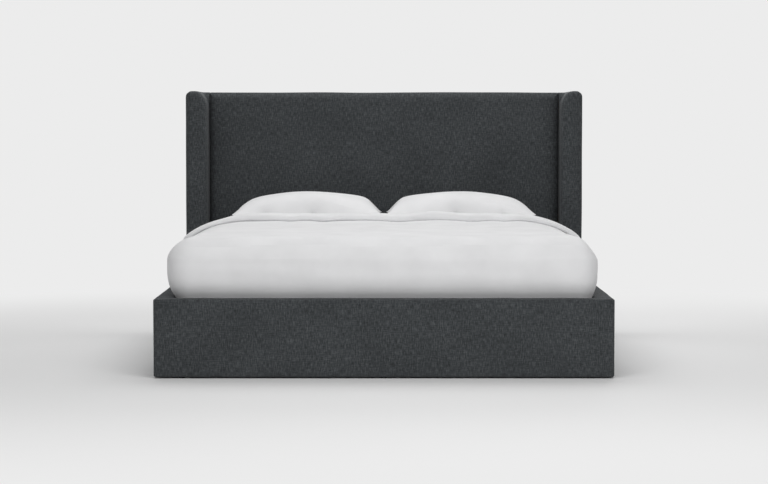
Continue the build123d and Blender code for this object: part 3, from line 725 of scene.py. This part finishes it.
# Duvet: a thick quilt, tucked in at the sides and the foot, bulging over the base, turned
# back at the head end in a second layer with a soft rolled hem.
duvetSettings = {
    "hemX": 0.974,
    "footHemY": -1.0265,
    "hemCornerM": 0.071,
    "topCornerM": 0.012,
    "hemLowZ": 0.336,
    "neckZ": 0.362,
    "bulgeLowZ": 0.482,
    "overhangM": {"left": 0.041, "right": 0.028, "foot": 0.039},
    "footShoulder": {"z": 0.547, "wide": 0.105, "high": 0.096, "power": 1.5},
    "foldShoulder": {"z": 0.553, "wide": 0.345, "high": 0.112, "power": 1.85},
    "widening": 1.3,
    "rightDropM": 0.007,
    "rightLessPower": 0.28,
    "crownM": 0.005,
    "crownZ": (0.55, 0.64),
    "endY": 0.35,
    "innerM": 0.0012,
    "hemSteps": 3,
    "lowerSteps": 9,
    "sideSteps": 6,
    "shoulderSteps": 16,
    "lengthSteps": 84,
    "acrossSteps": 110,
    "cornerSteps": 12,
    "puffM": 0.5,
    "puffHighM": 0.0024,
    "streakM": 0.075,
    "streakStretch": (8, 8, 1),
    "streakHighM": 0.0011,
    "foldY": (-0.35, 0.15),
    "foldZ": (0.6, 0.64),
    "foldWaveM": 0.34,
    "foldWaveShare": (1, 0.3, 0),
    "foldWaveHighM": 0.0015,
    "dipY": (0.27, 0.37),
    "dipPlaceM": (-0.49, -0.32, 0.075, 0.46, 0.63),
    "dipWideM": (0.05, 0.06, 0.1, 0.095, 0.05),
    "dipDeepM": (0.005, 0.006, 0.01, 0.01, 0.005),
    "dipMeanM": 0.003,
    "seed": 83,
    "fill": 0.5,
}


def shoulderCurve(turn, shoulder):
    # superellipse quarter at angle turn: how far it draws in, and its height
    power = 2 / shoulder["power"]
    drawn = shoulder["wide"] * (1 - np.cos(turn) ** power)
    return drawn, shoulder["z"] + shoulder["high"] * np.sin(turn) ** power


def shoulderAt(y, s):
    # the shoulder's sizes grow from the foot's to the fold's along the bed
    start = s["footHemY"] + s["hemCornerM"]
    share = np.clip((y - start) / (s["endY"] - start), 0, 1) ** s["widening"]
    foot, fold = s["footShoulder"], s["foldShoulder"]
    return {key: foot[key] + share * (fold[key] - foot[key]) for key in foot}


def lowerCurve(overhang, drop, depth):
    # the arc from the tucked neck out to the widest line, drop below it
    bend = (overhang**2 + depth**2) / (2 * overhang)
    return bend - np.sqrt(bend**2 - drop**2)


def foldSwell(points, s):
    # before the fold the quilt lies in low waves and dips at a few places, in both layers
    y, z = points[:, 1], points[:, 2]
    near = smoothStep(y, *s["foldY"]) * smoothStep(z, *s["foldZ"])
    before = 1 - smoothStep(y, *s["dipY"])
    fromDip = (points[:, :1] - s["dipPlaceM"]) / s["dipWideM"]
    dip = np.exp(-(fromDip**2)) @ np.array(s["dipDeepM"])
    wave = ripple(points * s["foldWaveShare"], s["foldWaveM"], s["seed"] + 5)
    wave *= s["foldWaveHighM"]
    return near * (wave + before * (s["dipMeanM"] - dip))


def hemLoop(s):
    # the tucked hem in plan, from the head end down the left side, round the foot and up
    # the right side, with the way inwards at each point
    half, foot, r = s["hemX"], s["footHemY"], s["hemCornerM"]
    along = np.linspace(s["endY"], foot + r, s["lengthSteps"])
    turn = np.linspace(0, np.pi / 2, s["cornerSteps"] + 2)[1:-1]
    left = columns(-half, along)
    bend = columns(-half + r * (1 - np.cos(turn)), foot + r * (1 - np.sin(turn)))
    end = columns(np.linspace(-half + r, half - r, s["acrossSteps"]), foot)
    sideWay, endWay = columns(np.ones(len(left)), 0), columns(0, np.ones(len(end)))
    bendWay = columns(np.cos(turn), np.sin(turn))
    lines = (left, bend, end), (sideWay, bendWay, endWay)
    return [np.concatenate([*line, np.concatenate(line[:2])[::-1] * (-1, 1)]) for line in lines]


def makeDuvet(s):
    # outside: hem, a side that bulges as an arc, a rounded shoulder and a crowned top, with
    # the shoulder no wider than leaves the top a round corner, and flatter on the right.
    # inside: the same rings pressed against the mattress. A strip joins their edges
    loop, inward = hemLoop(s)
    over, rightward = s["overhangM"], np.maximum(-inward[:, 0], 0) ** 2
    overhang = over["left"] * np.maximum(inward[:, 0], 0) ** 2 + over["right"] * rightward
    overhang += over["foot"] * inward[:, 1] ** 2
    shoulder = shoulderAt(loop[:, 1], s)
    footWide, foldWide = s["footShoulder"]["wide"], s["foldShoulder"]["wide"]
    excess = np.maximum(footWide + s["topCornerM"] - s["hemCornerM"] - overhang, 0)
    towardsFoot = (foldWide - shoulder["wide"]) / (foldWide - footWide)
    shoulder["wide"] -= excess * towardsFoot
    shoulder["power"] -= s["rightLessPower"] * towardsFoot * rightward
    drop = s["rightDropM"] * rightward
    shoulder["z"], shoulder["high"] = shoulder["z"] - drop, shoulder["high"] + drop
    low = s["bulgeLowZ"] - s["neckZ"]
    room = s["hemX"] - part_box("mattress_cover")[1].x - s["innerM"]
    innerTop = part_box("fitted_sheet")[1].z + s["innerM"]
    outer, inner = [], []

    def addRing(inset, z):
        drawn = (inset - overhang)[:, None]
        outer.append(columns(*(loop + inward * drawn).T, z))
        pressed = np.maximum(drawn, room)
        inner.append(columns(*(loop + inward * pressed).T, np.minimum(z, innerTop)))

    for z in np.linspace(s["hemLowZ"], s["neckZ"], s["hemSteps"])[:-1]:
        addRing(overhang, z)
    for drop in np.linspace(low, 0, s["lowerSteps"]):
        addRing(lowerCurve(overhang, drop, low), s["bulgeLowZ"] - drop)
    for share in np.linspace(0, 1, s["sideSteps"])[1:-1]:
        addRing(0.0, s["bulgeLowZ"] + share * (shoulder["z"] - s["bulgeLowZ"]))
    for turn in np.linspace(0, np.pi / 2, s["shoulderSteps"]):
        addRing(*shoulderCurve(turn, shoulder))
    rings, count = len(outer), len(loop)
    sideRows = s["lengthSteps"] + s["cornerSteps"]
    index = np.arange(rings * count).reshape(rings, count)
    grid = capGrid(index[-1], sideRows, s["acrossSteps"], rings * count, True)
    outside = addCap(np.concatenate(outer), grid, True)
    crown = np.clip(1 - (outside[:, 0] / s["hemX"]) ** 2, 0, 1) * s["crownM"]
    outside[:, 2] += crown * smoothStep(outside[:, 2], *s["crownZ"])
    inside = addCap(np.concatenate(inner), grid, True)
    total = len(outside)
    sheetFaces = np.concatenate([gridFaces(index), gridFaces(grid)[:, ::-1]])
    rim = np.concatenate([index[0], index[1:, -1], grid[0, ::-1][1:-1], index[::-1, 0]])
    strip = np.stack([rim, rim + total])
    faces = [sheetFaces, sheetFaces[:, ::-1] + total, gridFaces(strip)[:, ::-1]]
    points = np.concatenate([outside, inside])
    piece = buildMesh("duvet_quilt", points, np.concatenate(faces), cotton)
    orientOutwards(piece)
    points = vertexArray(piece)
    free = np.zeros(len(points))
    free[:total] = smoothStep(points[:total, 2], s["neckZ"], s["bulgeLowZ"])
    streak = ripple(points, s["streakM"], s["seed"] + 1, s["streakStretch"])
    swell = ripple(points, s["puffM"], s["seed"]) * s["puffHighM"] + streak * s["streakHighM"]
    pushOut(piece, swell * free, foldSwell(points, s) * (free > 0))
    declarePad(piece, "duvet", ["duvet"])


# The turned-back end: one closed tube across the bed, its places between three layers: the
# mattress (0), the duvet (1) and its own top (2). Layers below are a middle and a swing.
bandSettings = {
    "foldY": 0.235,
    "creaseY": 0.4,
    "half": {"left": 1.046, "right": 1.034},
    "shoulder": {
        "left": {"z": 0.572, "wide": 0.37, "high": 0.132, "power": 1.5},
        "right": {"z": 0.568, "wide": 0.34, "high": 0.136, "power": 1.5},
    },
    "rollM": 0.022,
    "creaseM": 0.05,
    "rollSteps": 12,
    "topSteps": 12,
    "creaseSteps": 14,
    "shoulderSteps": 30,
    "topAcross": 40,
    "hemLayer": (1.46, 0.5),
    "topLayer": (1.96, 0.07),
    "creaseLayer": (0.98, 0.98),
    "underLayer": (0.05, 0.9),
    "outerLayer": (0.9, 1.5),
    "hemSteps": 4,
    "hemOutM": 0.0025,
    "hemWaveM": 0.26,
    "hemWaveHighM": 0.012,
    "liftWaveM": 0.338,
    "liftHigh": 0.26,
    "liftMost": 1.5,
    "swellM": 0.17,
    "swellHighM": 0.0014,
    "seed": 97,
    "fill": 0.55,
}


def layerContour(half, shoulder, pressed=None, hemOut=0.0):
    # from the tucked hem up over the side to the middle of the bed: arc, side, shoulder
    # curve and flat top. pressed keeps it within the mattress's side and top, hemOut sets
    # its hem outside the layer below
    s, b = duvetSettings, bandSettings
    low, hemX = s["bulgeLowZ"] - s["neckZ"], s["hemX"] + hemOut
    hem = np.linspace(s["hemLowZ"], s["neckZ"], b["hemSteps"])[:-1]
    hem = columns(hemX, hem)
    drop = np.linspace(low, 0, s["lowerSteps"])[:-1]
    drawn = lowerCurve(half - hemX, drop, low)
    arc = columns(half - drawn, s["bulgeLowZ"] - drop)
    rise = np.linspace(s["bulgeLowZ"], shoulder["z"], s["sideSteps"])[:-1]
    side = columns(half, rise)
    turn = np.linspace(0, np.pi / 2, b["shoulderSteps"])
    drawn, z = shoulderCurve(turn, shoulder)
    bend = columns(half - drawn, z)
    top = columns(np.linspace(bend[-1, 0], 0, b["topAcross"])[1:], bend[-1, 1])
    outline = np.concatenate([hem, arc, side, bend, top])
    return np.minimum(outline, pressed) if pressed else outline


def makeBand(s, d):
    # a closed section (roll at the hem, top, roll at the crease, underside) in terms of
    # place along the bed and layer, carried along the layers' contour from hem to hem
    pressed = (
        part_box("mattress_cover")[1].x + d["innerM"],
        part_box("fitted_sheet")[1].z + d["innerM"],
    )
    halves = []
    for side, way in (("left", -1), ("right", 1)):
        half = d["hemX"] + d["overhangM"][side]
        drop = d["rightDropM"] if side == "right" else 0
        fold = d["foldShoulder"]
        fold = {**fold, "z": fold["z"] - drop, "high": fold["high"] + drop}
        base = layerContour(half, fold, pressed)
        middle = layerContour(half, fold)
        cover = layerContour(s["half"][side], s["shoulder"][side], None, s["hemOutM"])
        halves.append(np.stack([base, middle, cover]) * (way, 1))
    contour = np.concatenate([halves[0], halves[1][:, ::-1][:, 1:]], axis=1)
    step = np.linalg.norm(np.diff(contour[2], axis=0), axis=1)
    reach = np.concatenate([[0], np.cumsum(step)]) - step.sum() / 2
    alongHem = columns(reach, 0, 0)
    wave = ripple(alongHem, s["hemWaveM"], s["seed"]) * s["hemWaveHighM"]
    lift = np.clip(ripple(alongHem, s["liftWaveM"], s["seed"] + 1), 0, s["liftMost"])
    turn = np.linspace(-np.pi / 2, np.pi / 2, s["rollSteps"])
    back = np.linspace(np.pi / 2, -np.pi / 2, s["creaseSteps"])
    frontEdge, backEdge = s["foldY"] + s["rollM"], s["creaseY"] - s["creaseM"]
    inner = np.linspace(frontEdge, backEdge, s["topSteps"] + 2)[1:-1]
    arch = np.sin(np.linspace(0, np.pi, len(inner)))
    roll, crease = s["rollM"] * np.cos(turn), s["creaseM"] * np.cos(back)
    places = np.concatenate([frontEdge - roll, inner, backEdge + crease, inner[::-1]])
    swings = (s["hemLayer"], np.sin(turn)), (s["topLayer"], arch), (s["creaseLayer"], np.sin(back))
    heights = [middle + swing * wide for (middle, swing), wide in swings]
    heights = np.concatenate([*heights, np.linspace(*s["underLayer"], len(inner))])
    frontShare = 1 - smoothStep(places, s["foldY"], s["creaseY"])
    outerShare = smoothStep(heights, *s["outerLayer"])
    y = places[None] + wave[:, None] * frontShare
    w = heights[None] + s["liftHigh"] * lift[:, None] * frontShare * outerShare
    lower = np.minimum(w.astype(int), 1)
    share = (w - lower)[..., None]
    column = np.arange(contour.shape[1])[:, None]
    flat = contour[lower, column] * (1 - share) + contour[lower + 1, column] * share
    rows = np.stack([flat[..., 0], y, flat[..., 1]], axis=-1)
    index = np.arange(w.size).reshape(w.shape)
    faces = [gridFaces(index, wrap=True)]
    halfRing = rows.shape[1] // 2
    for row in (0, -1):
        ring = index[row]
        quads = gridFaces(np.stack([ring[:halfRing], ring[halfRing : 2 * halfRing][::-1]]))
        faces.append(quads if row else quads[:, ::-1])
    piece = buildMesh("duvet_turned_band", rows.reshape(-1, 3), np.concatenate(faces), cotton)
    orientOutwards(piece)
    points = vertexArray(piece)
    swell = ripple(points, s["swellM"], s["seed"] + 2) * s["swellHighM"]
    free = smoothStep(points[:, 2], d["neckZ"], d["bulgeLowZ"])
    pushOut(piece, swell * free, foldSwell(points, d))
    declarePad(piece, "duvet", ["duvet"])


makeDuvet(duvetSettings)
makeBand(bandSettings, duvetSettings)
print("duvet made")

# Pillows: cotton bags, flat when empty, blown up by cloth simulation.
pillowSettings = {
    "flatM": (0.85, 0.57),
    "bowShare": (0.06, 0.05),
    "startHighM": 0.03,
    "counts": (84, 56),
    "frames": 24,
    "cloth": {
        "quality": 6,
        "mass": 0.2,
        "tension_stiffness": 25,
        "compression_stiffness": 25,
        "shear_stiffness": 8,
        "bending_stiffness": 3.0,
        "tension_damping": 12,
        "compression_damping": 12,
        "air_damping": 4,
        "use_pressure": True,
        "uniform_pressure_force": 4.0,
    },
    "evenRounds": 40,
    "seamZ": 0.69,
    "underShare": 1.25,
    "restM": 0.001,
    "softM": 0.012,
    "lean": 0.09,
    "fill": 0.75,
}


def pillowBag(s):
    # two faces of a flat bag over a grid of a, b from -1 to 1, cut with bowed sides and
    # arched by a little so that the pressure knows its way out; they share the seam
    columns, rows = s["counts"]
    a, b = np.meshgrid(np.linspace(-1, 1, columns + 1), np.linspace(-1, 1, rows + 1))
    bow = s["bowShare"]
    x = a * s["flatM"][0] / 2 * (1 + bow[0] * (1 - b**2))
    y = b * s["flatM"][1] / 2 * (1 + bow[1] * (1 - a**2))
    arch = np.sqrt(np.clip((1 - a**2) * (1 - b**2), 0, 1)) * s["startHighM"]
    upper = np.stack([x, y, arch], -1).reshape(-1, 3)
    lower = upper * (1, 1, -1)
    index = np.arange(a.size).reshape(a.shape)
    inner = np.zeros(a.shape, bool)
    inner[1:-1, 1:-1] = True
    number = index.copy()
    number[inner] = a.size + np.arange(inner.sum())
    points = np.concatenate([upper, lower[inner.ravel()]])
    faces = np.concatenate([gridFaces(index), gridFaces(number)[:, ::-1]])
    return points, faces


def blowUp(piece, s):
    # Blender's cloth with pressure and no gravity, stepped frame by frame, then read off
    bpy.context.view_layer.objects.active = piece
    cloth = piece.modifiers.new("cloth", "CLOTH")
    for key, value in s["cloth"].items():
        setattr(cloth.settings, key, value)
    cloth.settings.effector_weights.gravity = 0
    cloth.collision_settings.use_collision = False
    for step in range(1, s["frames"] + 1):
        scene.frame_set(step)
    points = vertexArray(piece.evaluated_get(bpy.context.evaluated_depsgraph_get()))
    piece.modifiers.remove(cloth)
    scene.frame_set(1)
    return points


def evenOut(points, s):
    # each inner point of both faces moves to the mean of its four neighbours, some rounds
    columns, rows = s["counts"]
    count = (columns + 1) * (rows + 1)
    upper = points[:count].reshape(rows + 1, columns + 1, 3).copy()
    lower = upper.copy()
    lower[1:-1, 1:-1] = points[count:].reshape(rows - 1, columns - 1, 3)
    for face in (upper, lower):
        for _ in range(s["evenRounds"]):
            sides = face[:-2, 1:-1] + face[2:, 1:-1] + face[1:-1, :-2] + face[1:-1, 2:]
            face[1:-1, 1:-1] = sides / 4
    return np.concatenate([upper.reshape(-1, 3), lower[1:-1, 1:-1].reshape(-1, 3)])


def makePillows(s):
    # one bag is blown up once, then fitted to each pillow's box, sheared towards the bed's
    # middle, and its underside settles on its rest within the soft height above it
    points, faces = pillowBag(s)
    trial = buildMesh("pillow_trial", points, faces, cotton)
    points = evenOut(blowUp(trial, s), s)
    bpy.data.objects.remove(trial)
    for node, way in (("pillow_left", 1), ("pillow_right", -1)):
        low, high = np.array(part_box(node))
        shape = points * (way, 1, 1)
        spread = (high - low)[:2] / np.ptp(shape, axis=0)[:2]
        shape[:, :2] = shape[:, :2] * spread + (low + high)[:2] / 2
        above = shape[:, 2] > 0
        shape[above, 2] *= (high[2] - s["seamZ"]) / shape[:, 2].max()
        shape[~above, 2] *= (s["seamZ"] - low[2]) * s["underShare"] / -shape[:, 2].min()
        shape[:, 0] += way * s["lean"] * shape[:, 2]
        shape[:, 2] += s["seamZ"]
        rest, soft = low[2] + s["restM"], s["softM"]
        lift = shape[:, 2] - rest
        settled = soft * np.exp(np.minimum(lift / soft - 1, 0))
        shape[:, 2] = rest + np.where(lift > soft, lift, settled)
        piece = buildMesh(node + "_case", shape, faces, cotton)
        orientOutwards(piece)
        smooth = piece.modifiers.new("smooth", "SUBSURF")
        smooth.levels = smooth.render_levels = 1
        declarePad(piece, node, [node])


makePillows(pillowSettings)
print("pillows made")

# The solids that stay as they are, by the start of their names.
finishes = {
    pineAlongX: ("footboard_core", "headboard_top", "headboard_middle", "headboard_bottom")
    + ("slat_0", "slat_1"),
    pineAlongY: ("side_rail_core", "centre_beam", "slat_cleat"),
    pineAlongZ: ("wing_core", "headboard_post", "centre_leg"),
    blackPaint: ("beam_hangers", "rail_hook_plates", "rail_slot_plates"),
    zincPlate: ("slat_screws", "cleat_bolts", "wing_bolts"),
    blackNylon: ("glides", "levelling_foot"),
    hardboard: ("headboard_panel",),
    webbing: ("slat_straps",),
}
for material, starts in finishes.items():
    for name in nodes:
        if name.startswith(starts):
            nodes[name].data.materials.clear()
            nodes[name].data.materials.append(material)
print("frame nodes finished")

# The camera stands in front of the foot, a little above the mattress, looking slightly down.
photo = {
    "sensorMm": 36,
    "width": 768,
    "focal": 2166.0,
    "horizon": 120.9,
    "middle": 242.0,
    "distanceM": 9.965,
    "heightM": 1.19,
}
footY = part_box("footboard_cover")[0].y
cameraData = bpy.data.cameras.new("camera")
cameraData.sensor_width = photo["sensorMm"]
cameraData.lens = photo["sensorMm"] * photo["focal"] / photo["width"]
camera = scene.camera = bpy.data.objects.new("camera", cameraData)
scene.collection.objects.link(camera)
camera.location = (0, footY - photo["distanceM"], photo["heightM"])
pitch = math.atan((photo["middle"] - photo["horizon"]) / photo["focal"])
camera.rotation_euler = (math.pi / 2 - pitch, 0, 0)

# Soft lamps round the bed, a weak even light from the world, and a pale backdrop.
backdropColour = "#ececec"
ambientColour, ambientStrength = "#ffffff", 0.28
# Place, target, width and height in metres, and power in watts.
lampSettings = {
    "overhead": ((0, 1.3, 3.8), (0, 0.7, 0.4), (4.0, 2.2), 62),
    "overheadFront": ((0, -3.4, 4.0), (0, -0.6, 0.4), (4.0, 2.5), 66),
    "key": ((3.4, -5.6, 2.4), (0, 0.2, 0.7), (1.6, 1.6), 24),
    "front": ((0.4, -4.4, 1.5), (0, -1, 0.3), (4.0, 2.0), 19),
    "behind": ((0.8, 5.2, 2.6), (0, 0.5, 0.6), (4.0, 2.2), 80),
}


def addLamp(name, place, target, size, watts):
    data = bpy.data.lights.new(name, "AREA")
    data.shape = "RECTANGLE"
    data.size, data.size_y = size
    data.energy = watts
    lamp = bpy.data.objects.new(name, data)
    lamp.visible_camera = False
    scene.collection.objects.link(lamp)
    lamp.location = place
    way = np.array(target) - np.array(place)
    flat = math.hypot(*way[:2])
    lamp.rotation_euler = (math.atan2(flat, -way[2]), 0, math.atan2(-way[0], way[1]))


for name, settings in lampSettings.items():
    addLamp(name, *settings)

# Near the bed the floor takes its shadow; further out, rays that see it get the backdrop.
floorSettings = {
    "colour": "#efefef",
    "roughness": 0.9,
    "fadeFromM": 1.9,
    "fadeToM": 4.6,
    "halfM": 14.0,
}


def rayIsSeen(tree):
    # 1 for camera, glossy and transmission rays
    path = addNode(tree, "LightPath").outputs
    seen = path["Is Camera Ray"]
    for ray in ("Is Glossy Ray", "Is Transmission Ray"):
        either = {0: seen, 1: path[ray]}
        seen = addNode(tree, "Math", {"operation": "MAXIMUM"}, either).outputs[0]
    return seen


def paleFloor(s):
    # distance from the bed's middle, mapped to a share, times whether the ray is seen
    fixed = {"Base Color": linear(s["colour"]), "Roughness": s["roughness"]}
    material, tree, shader, place = newMaterial("pale_floor", fixed)
    away = addNode(tree, "VectorMath", {"operation": "LENGTH"}, {0: place}).outputs["Value"]
    fade = {"From Min": s["fadeFromM"], "From Max": s["fadeToM"]}
    fade["interpolation_type"] = "SMOOTHSTEP"
    far = addNode(tree, "MapRange", fade, {"Value": away}).outputs[0]
    share = {0: far, 1: rayIsSeen(tree)}
    share = addNode(tree, "Math", {"operation": "MULTIPLY"}, share).outputs[0]
    glow = {"Color": linear(backdropColour), "Strength": 1.0}
    glow = addNode(tree, "Emission", glow).outputs[0]
    mixed = {0: share, 1: shader.outputs[0], 2: glow}
    mixed = addNode(tree, "MixShader", {}, mixed).outputs[0]
    output = next(n for n in tree.nodes if n.type == "OUTPUT_MATERIAL")
    tree.links.new(mixed, output.inputs["Surface"])
    return material


world = scene.world = bpy.data.worlds.new("studio")
world.use_nodes = True
tree = world.node_tree
tree.nodes.clear()
shades = {0: rayIsSeen(tree)}
for which, colour, strength in ((1, ambientColour, ambientStrength), (2, backdropColour, 1.0)):
    shade = {"Color": linear(colour), "Strength": strength}
    shades[which] = addNode(tree, "Background", shade).outputs[0]
mixed = addNode(tree, "MixShader", {}, shades)
addNode(tree, "OutputWorld", links={"Surface": mixed.outputs[0]})
floorPoints = np.array([(-1, -1, 0), (1, -1, 0), (1, 1, 0), (-1, 1, 0)]) * floorSettings["halfM"]
floor = buildMesh("floor", floorPoints, [(0, 1, 2, 3)], paleFloor(floorSettings))

scene.view_settings.view_transform = "Standard"
print("camera, lamps and floor made")
